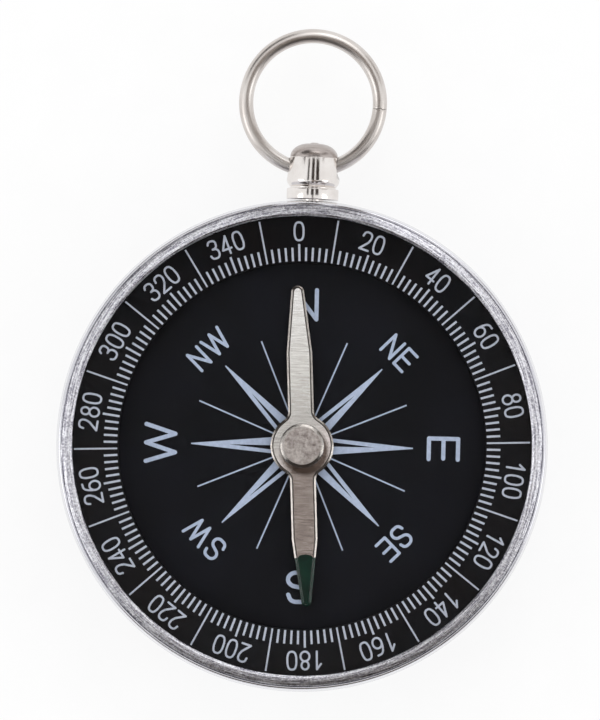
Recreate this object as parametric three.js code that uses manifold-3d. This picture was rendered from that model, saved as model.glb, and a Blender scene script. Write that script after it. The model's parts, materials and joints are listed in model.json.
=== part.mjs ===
// Compass keychain: a pocket compass in a turned aluminium case, hung from a wire bow ring.
// Millimetres. +Z points out of the dial, +Y towards the pendant, and the origin is the middle of the
// flat back, so the compass lies on its back with the dial up.
import * as THREE from "three";
import { mergeVertices } from "three/addons/utils/BufferGeometryUtils.js";
import Module from "manifold-3d";

const wasm = await Module();
wasm.setup();

// Case and bezel
const CASE_DIAMETER = 44; // over the widest part of the side
const CASE_HEIGHT = 11; // from the back to the top of the bezel
const CASE_WALL = 1.1; // at the widest part of the side
const CASE_FLOOR = 1;
const BACK_CORNER_RADIUS = 4; // round between the back and the side
const MOUTH_LEAN = 0.4; // how far the side leans in at the mouth
const MOUTH_WALL = 0.3; // thickness of the rounded edge of the mouth
const BEZEL_HEIGHT = 0.75; // above the crystal
const BEZEL_WIDTH = 0.87; // across the ring, from its outside to its opening
const BEZEL_PROUD = 0.4; // above the edge of the mouth
const BEZEL_FALL = 0.28; // drop of the top face from the lip to the outside
const BEZEL_LIP_WIDTH = 0.16; // narrow bevel round the opening
const BEZEL_LIP_DEPTH = 0.3;

// Crystal, scale and dial
const CRYSTAL_THICKNESS = 1.1;
const CRYSTAL_CHAMFER = 0.12;
const SCALE_WIDTH = 4.45; // across the degree ring
const SCALE_RISE = 1.45; // climb of its conical face
const SCALE_RIM_WIDTH = 0.45; // flat rim under the crystal
const SCALE_WALL = 1.2; // thickness under the conical face
const SCALE_FOOT_WIDTH = 1.5; // ring that stands on the dial
const DIAL_THICKNESS = 0.5;

// Carrier under the dial
const CARRIER_WEB = 1;
const CARRIER_WALL = 1;
const CARRIER_BOSS_WALL = 1.6;
const CARRIER_RIB_THICKNESS = 0.9;
const CARRIER_RIB_COUNT = 6;

// Pivot
const PIN_DIAMETER = 0.9;
const PIN_TIP_RADIUS = 0.06;
const PIN_POINT_MARGIN = 0.35; // cone left below the jewel
const PIN_PLAY = 0.1; // under the top of the jewel's cone
const BUSH_WALL = 0.6;
const BUSH_SHOULDER = 0.5; // rim that rests on the dial
const BUSH_HEAD_HEIGHT = 0.4;
const BUSH_HEAD_CHAMFER = 0.15;
const BUSH_DEPTH = 2.4; // below the dial
const BUSH_BASE = 0.5; // closed end under the pin

// Needle
const BLADE_THICKNESS = 0.35;
const BLADE_CLEARANCE = 0.9; // above the dial
const BLADE_TIP_CLEARANCE = 2.05; // from each tip to the degree ring
const BLADE_WIDTH = 2.27;
const BLADE_TAPER_LENGTH = 6; // from the shoulder to the tip
const NORTH_TIP_WIDTH = 1.15;
const SOUTH_TIP_WIDTH = 0.92;
const BLADE_HUB_DIAMETER = 5.62;
const BLADE_COIN_WIDTH = 0.26; // sloping band pressed round the upper edge
const BLADE_COIN_DEPTH = 0.07;
const BLADE_DROOP = 3; // degrees, how far each arm bends down from the hub
const NEEDLE_REST_ANGLE = 4; // degrees, from the pendant towards -X
const CAP_HEIGHT = 1.4; // above the blade
const CAP_CLEARANCE = 0.35; // under the crystal
const CAP_BASE_DIAMETER = 3.96;
const CAP_TOP_DIAMETER = 3.74;
const CAP_FOOT_HEIGHT = 0.35; // upright edge at the base
const CAP_EDGE_ROUND = 0.12; // at the top
const CAP_ROOF = 0.45; // above the jewel
const CAP_SPIGOT_WALL = 0.25;
const CAP_SPIGOT_PROUD = 0.15; // below the blade
const JEWEL_DIAMETER = 1.7;
const JEWEL_LIP = 0.15; // round the mouth of its cone
const JEWEL_ROOF = 0.3; // above the cone

// Pendant stem, washer and nut
const PENDANT_DROP = 4.3; // axis below the crystal's seat
const FLANGE_DIAMETER = 4.66;
const FLANGE_THICKNESS = 1;
const FLANGE_ROUND = 0.15;
const NECK_DIAMETER = 4.1;
const NECK_LENGTH = 0.12;
const HEAD_BASE_DIAMETER = 4.74;
const HEAD_TOP_DIAMETER = 4.38;
const HEAD_CHAMFER = 0.58;
const HEAD_BARREL = 2.1; // tapered part between chamfer and shoulder
const HEAD_SHOULDER = 0.06; // step in at the foot of the dome
const HEAD_DOME_HEIGHT = 1.25;
const STUD_DIAMETER = 2;
const STUD_CHAMFER = 0.2;
const STUD_PROUD = 0.25; // past the nut
const WASHER_RIM = 0.8; // around the stud
const WASHER_THICKNESS = 0.4;
const NUT_WALL = 0.6; // from the stud to a flat
const NUT_THICKNESS = 1.2;

// Bow ring
const BOW_WIRE = 1.28;
const BOW_INNER_DIAMETER = 10.72;
const BOW_BORE_HEIGHT = 1.28; // bore axis above the foot of the barrel
const BOW_SLIDE = 0.3; // how far the loop hangs from the middle of the bore, towards -X
const BOW_JOINT_ANGLE = -3; // degrees from +X, where the wire's ends meet
const BOW_JOINT_GAP = 0.12;

// Clearances
const SEAT_GAP = 0.05; // between pieces that rest on each other
const SIDE_CLEARANCE = 0.1; // crystal and degree ring in the case
const PRESS_GAP = 0.05; // bezel in the mouth, bush in the boss
const STUD_CLEARANCE = 0.15; // stud in the case wall
const BOW_CLEARANCE = 0.06; // wire in the bore
const DIAL_CLEARANCE = 0.4; // from the stud's end to the dial and carrier
const CUT_OVERRUN = 1; // how far cutters and ribs run past what they meet

// Facets
const ROUND_STEPS = 60;
const STEM_STEPS = 36;
const FINE_STEPS = 24;
const ARC_DIVISIONS = 3;
const WIRE_SIDES = 12;
const WIRE_STEPS = 56;

// Heights of the stack, from the bezel down
const caseRadius = CASE_DIAMETER / 2;
const crystalTop = CASE_HEIGHT - BEZEL_HEIGHT;
const crystalBottom = crystalTop - CRYSTAL_THICKNESS;
const seatHeight = crystalBottom - SEAT_GAP;
const mouthTop = CASE_HEIGHT - BEZEL_PROUD;
const capTop = crystalBottom - CAP_CLEARANCE;
const bladeTop = capTop - CAP_HEIGHT;
const bladeBottom = bladeTop - BLADE_THICKNESS;
const dialTop = bladeBottom - BLADE_CLEARANCE;
const dialBottom = dialTop - DIAL_THICKNESS;
const pendantHeight = seatHeight - PENDANT_DROP;

// Radii of the case and of what lies in it
const mouthBore = caseRadius - MOUTH_LEAN - MOUTH_WALL;
const caseBore = caseRadius - CASE_WALL;
const floorCorner = BACK_CORNER_RADIUS - CASE_WALL;
const scaleOuter = caseBore - SIDE_CLEARANCE;
const scaleInner = scaleOuter - SCALE_WIDTH;

// Radius of the inside of the case at a height, in the round corner of its floor or above it
function caseInside(height) {
  const below = Math.max(CASE_FLOOR + floorCorner - height, 0);
  const reach = Math.max(floorCorner ** 2 - below ** 2, 0);
  return caseBore - floorCorner + Math.sqrt(reach);
}

// Fasteners of the pendant, from the wall inwards along -Y
const studRadius = STUD_DIAMETER / 2;
const washerRadius = studRadius + WASHER_RIM;
const washerSeat =
  Math.min(Math.sqrt(caseBore ** 2 - washerRadius ** 2), caseInside(pendantHeight - washerRadius)) -
  SEAT_GAP;
const nutSeat = washerSeat - WASHER_THICKNESS - SEAT_GAP;
const studEnd = nutSeat - NUT_THICKNESS - STUD_PROUD;
const dialRadius = studEnd - DIAL_CLEARANCE;

// Head of the pendant, along +Y
const flangeBottom = caseRadius + SEAT_GAP;
const flangeTop = flangeBottom + FLANGE_THICKNESS;
const neckTop = flangeTop + NECK_LENGTH;
const barrelBottom = neckTop + HEAD_CHAMFER;
const barrelTop = barrelBottom + HEAD_BARREL;
const domeTop = barrelTop + HEAD_DOME_HEIGHT;

// Bow: the wire bends inside the straight bore, so the bore is wider than the wire by its sagitta
const bowRadius = (BOW_INNER_DIAMETER + BOW_WIRE) / 2;
const headTaper = (HEAD_BASE_DIAMETER - HEAD_TOP_DIAMETER) / HEAD_BARREL;
const boreHalfLength = (HEAD_BASE_DIAMETER - headTaper * BOW_BORE_HEIGHT) / 2;
const bowSagitta = bowRadius - Math.sqrt(bowRadius ** 2 - (boreHalfLength + BOW_SLIDE) ** 2);
const bowBoreRadius = (BOW_WIRE + bowSagitta) / 2 + BOW_CLEARANCE;
const bowAxis = barrelBottom + BOW_BORE_HEIGHT;
const bowCentre = bowAxis - bowSagitta / 2 + bowRadius;

const RIGHT_ANGLE = Math.PI / 2;

const finishes = {
  polishedAluminium: { color: 0xd9d9dd, roughness: 0.2, metalness: 1 },
  rolledAluminium: { color: 0xb9b8be, roughness: 0.38, metalness: 1 },
  acrylic: { color: 0xffffff, roughness: 0.03, metalness: 0, transparent: true, opacity: 0.2 },
  blackPrint: { color: 0x17181c, roughness: 0.5, metalness: 0 },
  blackMoulding: { color: 0x1d1a19, roughness: 0.45, metalness: 0 },
  greyMoulding: { color: 0x3a3a3c, roughness: 0.55, metalness: 0 },
  brass: { color: 0xb8975a, roughness: 0.35, metalness: 1 },
  steel: { color: 0xb5b0a8, roughness: 0.35, metalness: 1 },
  nickelPlate: { color: 0xd0cbc4, roughness: 0.12, metalness: 1 },
  bearingGlass: { color: 0xd8e0e4, roughness: 0.1, metalness: 0 },
};

function named(name, geometry, finish) {
  const mesh = new THREE.Mesh(geometry, new THREE.MeshStandardMaterial(finish));
  mesh.name = name;
  return mesh;
}

// Path through straight points, to which arcs can be added
function profileFrom(...points) {
  const path = new THREE.Path();
  points.forEach(([x, y], i) => (i ? path.lineTo(x, y) : path.moveTo(x, y)));
  return path;
}

// Solid of revolution about +Y, from a profile of radius and height
function turned(profile, steps) {
  return new THREE.LatheGeometry(profile.getPoints(ARC_DIVISIONS), steps);
}

// The same about +Z
function turnedUpright(profile, steps = ROUND_STEPS) {
  return turned(profile, steps).rotateX(RIGHT_ANGLE);
}

function toSolid(geometry) {
  const bare = new THREE.BufferGeometry();
  bare.setAttribute("position", geometry.getAttribute("position"));
  bare.setIndex(geometry.index);
  const merged = mergeVertices(bare);
  return new wasm.Manifold(
    new wasm.Mesh({
      numProp: 3,
      vertProperties: merged.getAttribute("position").array,
      triVerts: new Uint32Array(merged.index.array),
    }),
  );
}

function toGeometry(solid) {
  const mesh = solid.getMesh();
  const geometry = new THREE.BufferGeometry();
  geometry.setAttribute("position", new THREE.BufferAttribute(mesh.vertProperties, 3));
  geometry.setIndex(new THREE.BufferAttribute(mesh.triVerts, 1));
  geometry.computeVertexNormals();
  return geometry;
}

// Round bar along +Y, used as a cutter
function bar(radius, from, to, steps) {
  return new THREE.CylinderGeometry(radius, radius, to - from, steps).translate(0, (from + to) / 2, 0);
}

// Cup with a round back corner, a convex side that leans in to the mouth, a seat for the crystal
// and a hole in the side for the stud
function caseShell() {
  const cornerCentre = caseRadius - BACK_CORNER_RADIUS;
  const edgeRound = MOUTH_WALL / 2;
  const sideHeight = mouthTop - edgeRound - BACK_CORNER_RADIUS;
  const sideRadius = (sideHeight ** 2 + MOUTH_LEAN ** 2) / (2 * MOUTH_LEAN);
  const profile = profileFrom([0, 0], [cornerCentre, 0]);
  profile.absarc(cornerCentre, BACK_CORNER_RADIUS, BACK_CORNER_RADIUS, -RIGHT_ANGLE, 0);
  profile.absarc(
    caseRadius - sideRadius, BACK_CORNER_RADIUS, sideRadius, 0, Math.asin(sideHeight / sideRadius),
  );
  profile.absarc(mouthBore + edgeRound, mouthTop - edgeRound, edgeRound, 0, Math.PI);
  profile.lineTo(mouthBore, seatHeight);
  profile.lineTo(caseBore, seatHeight);
  profile.absarc(caseBore - floorCorner, CASE_FLOOR + floorCorner, floorCorner, 0, -RIGHT_ANGLE, true);
  profile.lineTo(0, CASE_FLOOR);
  const studHole = bar(
    studRadius + STUD_CLEARANCE, studEnd, caseRadius + CUT_OVERRUN, FINE_STEPS,
  ).translate(0, 0, pendantHeight);
  const shell = toSolid(turnedUpright(profile)).subtract(toSolid(studHole));
  return named("case_shell", toGeometry(shell), finishes.polishedAluminium);
}

// Ring with a crowned top face that falls outwards and a narrow bevel round its opening
function bezelRing() {
  const outer = mouthBore - PRESS_GAP;
  const inner = outer - BEZEL_WIDTH;
  const bottom = crystalTop + SEAT_GAP;
  const lip = inner + BEZEL_LIP_WIDTH;
  const profile = profileFrom([inner, bottom], [outer, bottom], [outer, CASE_HEIGHT - BEZEL_FALL]);
  profile.quadraticCurveTo((outer + lip) / 2, CASE_HEIGHT, lip, CASE_HEIGHT);
  profile.lineTo(inner, CASE_HEIGHT - BEZEL_LIP_DEPTH);
  profile.lineTo(inner, bottom);
  return named("bezel_ring", turnedUpright(profile), finishes.rolledAluminium);
}

function crystal() {
  const radius = mouthBore - SIDE_CLEARANCE;
  const profile = profileFrom(
    [0, crystalBottom],
    [radius, crystalBottom],
    [radius, crystalTop - CRYSTAL_CHAMFER],
    [radius - CRYSTAL_CHAMFER, crystalTop],
    [0, crystalTop],
  );
  return named("crystal", turnedUpright(profile), finishes.acrylic);
}

// Conical ring that stands on the dial by an inner foot and reaches out to the case under the crystal
function degreeRing() {
  const rimTop = crystalBottom - SEAT_GAP;
  const edgeTop = rimTop - SCALE_RISE;
  const footBottom = dialTop + SEAT_GAP;
  const footOuter = scaleInner + SCALE_FOOT_WIDTH;
  const coneOuter = scaleOuter - SCALE_RIM_WIDTH;
  const slope = SCALE_RISE / (coneOuter - scaleInner);
  const profile = profileFrom(
    [scaleInner, footBottom],
    [footOuter, footBottom],
    [footOuter, edgeTop + slope * SCALE_FOOT_WIDTH - SCALE_WALL],
    [scaleOuter, rimTop - SCALE_WALL],
    [scaleOuter, rimTop],
    [coneOuter, rimTop],
    [scaleInner, edgeTop],
    [scaleInner, footBottom],
  );
  return named("degree_ring", turnedUpright(profile), finishes.blackMoulding);
}

function dialPlate() {
  const hole = bushRadius() + PRESS_GAP;
  const profile = profileFrom(
    [hole, dialBottom],
    [dialRadius, dialBottom],
    [dialRadius, dialTop],
    [hole, dialTop],
    [hole, dialBottom],
  );
  return named("dial_plate", turnedUpright(profile), finishes.blackPrint);
}

// Moulded cup, open below, with a boss for the bush and ribs from the boss to the wall
function dialCarrier() {
  const top = dialBottom - SEAT_GAP;
  const bottom = CASE_FLOOR + SEAT_GAP;
  const webBottom = top - CARRIER_WEB;
  const bore = bushRadius() + PRESS_GAP;
  const boss = bore + CARRIER_BOSS_WALL;
  const foot = Math.min(caseBore - floorCorner - SEAT_GAP, dialRadius);
  const knee = (bottom + webBottom) / 2;
  const wall = dialRadius - CARRIER_WALL;
  const profile = profileFrom(
    [bore, bottom],
    [boss, bottom],
    [boss, webBottom],
    [wall, webBottom],
    [wall, knee],
    [foot - CARRIER_WALL, bottom],
    [foot, bottom],
    [dialRadius, knee],
    [dialRadius, top],
    [bore, top],
    [bore, bottom],
  );
  let carrier = toSolid(turnedUpright(profile));
  const ribStart = boss - CARRIER_BOSS_WALL / 2;
  const ribEnd = foot - CARRIER_WALL / 2;
  const ribHeight = webBottom + CARRIER_WEB / 2 - bottom;
  for (let i = 0; i < CARRIER_RIB_COUNT; i++) {
    const rib = new THREE.BoxGeometry(ribEnd - ribStart, CARRIER_RIB_THICKNESS, ribHeight);
    rib.translate((ribStart + ribEnd) / 2, 0, bottom + ribHeight / 2);
    rib.rotateZ((2 * Math.PI * i) / CARRIER_RIB_COUNT);
    carrier = carrier.add(toSolid(rib));
  }
  return named("dial_carrier", toGeometry(carrier), finishes.greyMoulding);
}

function pinBore() {
  return PIN_DIAMETER / 2 + PRESS_GAP;
}

function bushRadius() {
  return pinBore() + BUSH_WALL;
}

function bushBottom() {
  return dialBottom - BUSH_DEPTH;
}

// Headed bush with a blind bore for the pin
function pivotBush() {
  const radius = bushRadius();
  const head = radius + BUSH_SHOULDER;
  const headBottom = dialTop + SEAT_GAP;
  const headTop = headBottom + BUSH_HEAD_HEIGHT;
  const boreBottom = bushBottom() + BUSH_BASE;
  const profile = profileFrom(
    [0, bushBottom()],
    [radius, bushBottom()],
    [radius, headBottom],
    [head, headBottom],
    [head, headTop - BUSH_HEAD_CHAMFER],
    [head - BUSH_HEAD_CHAMFER, headTop],
    [pinBore(), headTop],
    [pinBore(), boreBottom],
    [0, boreBottom],
  );
  return named("pivot_bush", turnedUpright(profile, FINE_STEPS), finishes.brass);
}

function jewelBottom() {
  return bladeBottom;
}

// Top of the jewel's cone, where the pin bears
function bearingHeight() {
  return capTop - CAP_ROOF - SEAT_GAP - JEWEL_ROOF;
}

function pivotPin() {
  const radius = PIN_DIAMETER / 2;
  const bottom = bushBottom() + BUSH_BASE + SEAT_GAP;
  const tip = bearingHeight() - PIN_PLAY;
  const coneBottom = jewelBottom() - PIN_POINT_MARGIN;
  const profile = profileFrom(
    [0, bottom],
    [radius, bottom],
    [radius, coneBottom],
    [PIN_TIP_RADIUS, tip],
    [0, tip],
  );
  return named("pivot_pin", turnedUpright(profile, FINE_STEPS), finishes.steel);
}

function spigotBore() {
  return JEWEL_DIAMETER / 2 + PRESS_GAP;
}

function spigotRadius() {
  return spigotBore() + CAP_SPIGOT_WALL;
}

// One side of an arm's outline, from the hub to the rounded tip and back to the hub, on the +Y side
// when direction is 1 and on the -Y side when it is -1
function addArm(outline, direction, tipWidth) {
  const tip = scaleInner - BLADE_TIP_CLEARANCE;
  const halfWidth = BLADE_WIDTH / 2;
  const halfTip = tipWidth / 2;
  const shoulder = direction * (tip - BLADE_TAPER_LENGTH);
  const roundCentre = direction * (tip - halfTip);
  const root = direction * Math.sqrt((BLADE_HUB_DIAMETER / 2) ** 2 - halfWidth ** 2);
  const near = direction * halfWidth;
  outline.lineTo(near, root);
  outline.lineTo(near, shoulder);
  const start = direction > 0 ? 0 : Math.PI;
  outline.absarc(0, roundCentre, halfTip, start, start + Math.PI);
  outline.lineTo(-near, shoulder);
  outline.lineTo(-near, root);
}

// Stamped blade: two tapering arms on a round hub, with a sloping band coined round the upper edge.
// The arms droop, so that the weight hangs below the bearing.
function needleBlade() {
  const hub = BLADE_HUB_DIAMETER / 2;
  const rootAngle = Math.acos(BLADE_WIDTH / 2 / hub);
  const outline = new THREE.Shape();
  outline.moveTo(hub * Math.cos(rootAngle), hub * Math.sin(rootAngle));
  addArm(outline, 1, NORTH_TIP_WIDTH);
  outline.absarc(0, 0, hub, Math.PI - rootAngle, Math.PI + rootAngle);
  addArm(outline, -1, SOUTH_TIP_WIDTH);
  outline.absarc(0, 0, hub, -rootAngle, rootAngle);
  const blank = new THREE.ExtrudeGeometry(outline, {
    depth: BLADE_THICKNESS,
    steps: 1,
    curveSegments: 2 * ARC_DIVISIONS,
    bevelThickness: BLADE_COIN_DEPTH,
    bevelSize: BLADE_COIN_WIDTH,
    bevelOffset: -BLADE_COIN_WIDTH,
    bevelSegments: 1,
  }).translate(0, 0, bladeBottom - BLADE_COIN_DEPTH);
  // The lower coined band is cut away, because only the upper side is pressed
  const reach = 2 * scaleInner;
  const above = new THREE.BoxGeometry(reach, reach, reach).translate(0, 0, bladeBottom + reach / 2);
  const hole = bar(spigotRadius() + PRESS_GAP, -CUT_OVERRUN, CUT_OVERRUN, FINE_STEPS)
    .rotateX(RIGHT_ANGLE)
    .translate(0, 0, bladeBottom);
  const flat = toSolid(blank).intersect(toSolid(above)).subtract(toSolid(hole));
  // Each arm bends along a straight line across the blade at the edge of the hub
  const fall = Math.tan(THREE.MathUtils.degToRad(BLADE_DROOP));
  const bend = (arm) => arm.warp((point) => (point[2] -= fall * (Math.abs(point[1]) - hub)));
  const north = bend(flat.trimByPlane([0, 1, 0], hub));
  const south = bend(flat.trimByPlane([0, -1, 0], hub));
  const middle = flat.trimByPlane([0, 1, 0], -hub).trimByPlane([0, -1, 0], -hub);
  return named("needle_blade", toGeometry(middle.add(north).add(south)), finishes.steel);
}

// Hub cup: a flat-topped boss on the blade, with a spigot through it that holds the jewel
function needleCap() {
  const base = CAP_BASE_DIAMETER / 2;
  const top = CAP_TOP_DIAMETER / 2;
  const seat = bladeTop + SEAT_GAP;
  const spigotBottom = bladeBottom - CAP_SPIGOT_PROUD;
  const profile = profileFrom(
    [0, capTop - CAP_ROOF],
    [spigotBore(), capTop - CAP_ROOF],
    [spigotBore(), spigotBottom],
    [spigotRadius(), spigotBottom],
    [spigotRadius(), seat],
    [base, seat],
    [base, bladeTop + CAP_FOOT_HEIGHT],
    [top, capTop - CAP_EDGE_ROUND],
  );
  profile.quadraticCurveTo(top, capTop, top - CAP_EDGE_ROUND, capTop);
  profile.lineTo(0, capTop);
  return named("needle_cap", turnedUpright(profile, STEM_STEPS), finishes.steel);
}

function needleJewel() {
  const radius = JEWEL_DIAMETER / 2;
  const top = capTop - CAP_ROOF - SEAT_GAP;
  const profile = profileFrom(
    [0, bearingHeight()],
    [radius - JEWEL_LIP, jewelBottom()],
    [radius, jewelBottom()],
    [radius, top],
    [0, top],
  );
  return named("needle_jewel", turnedUpright(profile, FINE_STEPS), finishes.bearingGlass);
}

// Turned stem: stud, flange, groove, tapered barrel with a cross bore, and dome
function pendantStem() {
  const flange = FLANGE_DIAMETER / 2;
  const neck = NECK_DIAMETER / 2;
  const headTop = HEAD_TOP_DIAMETER / 2;
  const dome = headTop - HEAD_SHOULDER;
  const profile = profileFrom(
    [0, studEnd],
    [studRadius - STUD_CHAMFER, studEnd],
    [studRadius, studEnd + STUD_CHAMFER],
    [studRadius, flangeBottom],
    [flange, flangeBottom],
    [flange, flangeTop - FLANGE_ROUND],
    [flange - FLANGE_ROUND, flangeTop],
    [neck, flangeTop],
    [neck, neckTop],
    [HEAD_BASE_DIAMETER / 2, barrelBottom],
    [headTop, barrelTop],
  );
  profile.absellipse(0, barrelTop, dome, HEAD_DOME_HEIGHT, 0, RIGHT_ANGLE);
  const cutterReach = boreHalfLength + CUT_OVERRUN;
  const crossBore = bar(bowBoreRadius, -cutterReach, cutterReach, STEM_STEPS)
    .rotateZ(RIGHT_ANGLE)
    .translate(0, bowAxis, 0);
  const stem = toSolid(turned(profile, STEM_STEPS)).subtract(toSolid(crossBore));
  const mesh = named("pendant_stem", toGeometry(stem), finishes.nickelPlate);
  mesh.position.z = pendantHeight;
  return mesh;
}

function pendantWasher() {
  const hole = studRadius + PRESS_GAP;
  const profile = profileFrom(
    [hole, washerSeat - WASHER_THICKNESS],
    [washerRadius, washerSeat - WASHER_THICKNESS],
    [washerRadius, washerSeat],
    [hole, washerSeat],
    [hole, washerSeat - WASHER_THICKNESS],
  );
  const mesh = named("pendant_washer", turned(profile, FINE_STEPS), finishes.steel);
  mesh.position.z = pendantHeight;
  return mesh;
}

// Hexagon nut, drawn across its corners with a flat towards the dial
function pendantNut() {
  const hexagon = new THREE.Shape();
  const corner = (studRadius + NUT_WALL) / Math.cos(Math.PI / 6);
  for (let i = 0; i < 6; i++) {
    const angle = (Math.PI * i) / 3;
    const point = [corner * Math.cos(angle), corner * Math.sin(angle)];
    if (i) hexagon.lineTo(...point);
    else hexagon.moveTo(...point);
  }
  hexagon.holes.push(new THREE.Path().absarc(0, 0, studRadius + PRESS_GAP, 0, 2 * Math.PI, true));
  const body = new THREE.ExtrudeGeometry(hexagon, {
    depth: NUT_THICKNESS,
    curveSegments: FINE_STEPS,
    bevelEnabled: false,
  });
  const mesh = named("pendant_nut", body.rotateX(RIGHT_ANGLE), finishes.brass);
  mesh.position.set(0, nutSeat, pendantHeight);
  return mesh;
}

// Open circle of wire, from one end of the joint round to the other
class WireLoop extends THREE.Curve {
  getPoint(t, target = new THREE.Vector3()) {
    const joint = BOW_JOINT_GAP / bowRadius;
    const start = THREE.MathUtils.degToRad(BOW_JOINT_ANGLE) + joint / 2;
    const angle = start + t * (2 * Math.PI - joint);
    return target.set(bowRadius * Math.cos(angle), bowRadius * Math.sin(angle), 0);
  }
}

function bowRing() {
  const section = new THREE.Shape().absarc(0, 0, BOW_WIRE / 2, 0, 2 * Math.PI);
  const wire = new THREE.ExtrudeGeometry(section, {
    extrudePath: new WireLoop(),
    steps: WIRE_STEPS,
    curveSegments: WIRE_SIDES / 2,
  });
  const mesh = named("bow_ring", wire, finishes.nickelPlate);
  mesh.position.set(-BOW_SLIDE, bowCentre, pendantHeight);
  return mesh;
}

const needle = new THREE.Group();
needle.rotation.z = THREE.MathUtils.degToRad(NEEDLE_REST_ANGLE);
needle.add(needleBlade(), needleCap(), needleJewel());

const compass = new THREE.Group();
compass.add(caseShell(), bezelRing(), crystal(), degreeRing(), dialPlate(), dialCarrier());
compass.add(pivotBush(), pivotPin(), needle);
compass.add(pendantStem(), pendantWasher(), pendantNut(), bowRing());

export default compass;
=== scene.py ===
# %% [markdown]
# # A keychain compass
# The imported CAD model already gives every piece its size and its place. This lesson dresses it: each
# solid that shows is replaced by a finer mesh with round edges and a real finish, and the print on the
# scale and the dial is added. Everything is in metres in the CAD frame, so nothing has to be fitted by
# eye. +Z points out of the dial and +Y towards the stem.

# %% Load the frame
import json
import math

import bmesh
import bpy
from mathutils import Matrix, Vector


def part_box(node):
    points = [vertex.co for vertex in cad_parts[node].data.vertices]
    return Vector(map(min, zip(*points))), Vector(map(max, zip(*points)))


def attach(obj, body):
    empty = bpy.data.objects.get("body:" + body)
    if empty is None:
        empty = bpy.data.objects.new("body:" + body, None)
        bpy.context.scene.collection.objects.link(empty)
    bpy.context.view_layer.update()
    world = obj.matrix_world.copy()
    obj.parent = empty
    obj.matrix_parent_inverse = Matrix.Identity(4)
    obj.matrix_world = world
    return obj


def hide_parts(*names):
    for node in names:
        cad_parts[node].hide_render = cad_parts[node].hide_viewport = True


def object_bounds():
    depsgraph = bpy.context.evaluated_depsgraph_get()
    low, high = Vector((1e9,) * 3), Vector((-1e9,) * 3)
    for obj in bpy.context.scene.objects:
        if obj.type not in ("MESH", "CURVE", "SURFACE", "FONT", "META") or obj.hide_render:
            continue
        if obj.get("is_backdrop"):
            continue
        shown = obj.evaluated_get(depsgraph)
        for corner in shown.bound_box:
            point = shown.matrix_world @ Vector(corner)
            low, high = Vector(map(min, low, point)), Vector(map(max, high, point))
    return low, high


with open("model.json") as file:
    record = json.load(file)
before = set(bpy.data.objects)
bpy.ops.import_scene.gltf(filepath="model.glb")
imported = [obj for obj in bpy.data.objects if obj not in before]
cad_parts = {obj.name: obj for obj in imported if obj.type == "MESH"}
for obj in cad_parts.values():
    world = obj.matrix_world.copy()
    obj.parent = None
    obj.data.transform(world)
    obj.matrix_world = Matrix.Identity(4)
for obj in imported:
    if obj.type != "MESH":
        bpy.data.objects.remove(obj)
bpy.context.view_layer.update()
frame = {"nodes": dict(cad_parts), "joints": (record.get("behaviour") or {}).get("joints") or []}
MM = 0.001

# %% [markdown]
# Finishes are trees of nodes, and a few small functions build them. A colour is written as the hex value
# that a colour picker shows, and has to be made linear before Cycles adds light with it. A node is added
# with its properties, its inputs and, on a colour ramp, its stops, so that a whole tree reads from top
# to bottom and ends in the one shader that all these finishes share. In most of them one noise, at the
# size of the real grain, sets the tone, the blur and the relief together, so one function makes those.


# %% Colours and nodes
def linear(code):
    """Linear RGBA of an sRGB hex colour."""
    shares = [int(code[i:i + 2], 16) / 255 for i in (1, 3, 5)]
    return (*[s / 12.92 if s <= 0.04045 else ((s + 0.055) / 1.055) ** 2.4 for s in shares], 1)


def plug(node, inputs):
    """Fills inputs of a node: a socket is linked to its input, and a plain value is set on it."""
    for name, value in inputs.items():
        if isinstance(value, bpy.types.NodeSocket):
            node.id_data.links.new(value, node.inputs[name])
        else:
            node.inputs[name].default_value = value


def add(tree, kind, inputs=None, stops=(), **settings):
    """A new node with its settings, its inputs and the stops of its colour ramp."""
    made = tree.nodes.new("ShaderNode" + kind)
    for name, value in settings.items():
        setattr(made, name, value)
    plug(made, inputs or {})
    for i, (place, colour) in enumerate(stops):
        stop = made.color_ramp.elements[i] if i < 2 else made.color_ramp.elements.new(place)
        stop.position, stop.color = place, linear(colour)
    return made


def new_finish(name):
    """A material with its tree, its Principled shader and the Object coordinates that patterns read."""
    material = bpy.data.materials.new(name)
    material.use_nodes = True
    tree = material.node_tree
    return material, tree, tree.nodes["Principled BSDF"], add(tree, "TexCoord").outputs["Object"]


def from_axis(tree, where):
    """The distance of a point from the Z axis."""
    flat = add(tree, "VectorMath", {0: where, 1: (1, 1, 0)}, operation="MULTIPLY")
    return add(tree, "VectorMath", {0: flat.outputs["Vector"]}, operation="LENGTH").outputs["Value"]


def any_of(tree, *kinds):
    """A factor of 1 for rays of the given kinds, and of 0 for all others."""
    rays = add(tree, "LightPath").outputs
    factor = rays[kinds[0]]
    for kind in kinds[1:]:
        factor = add(tree, "Math", {0: factor, 1: rays[kind]}, operation="MAXIMUM").outputs[0]
    return factor


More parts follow.
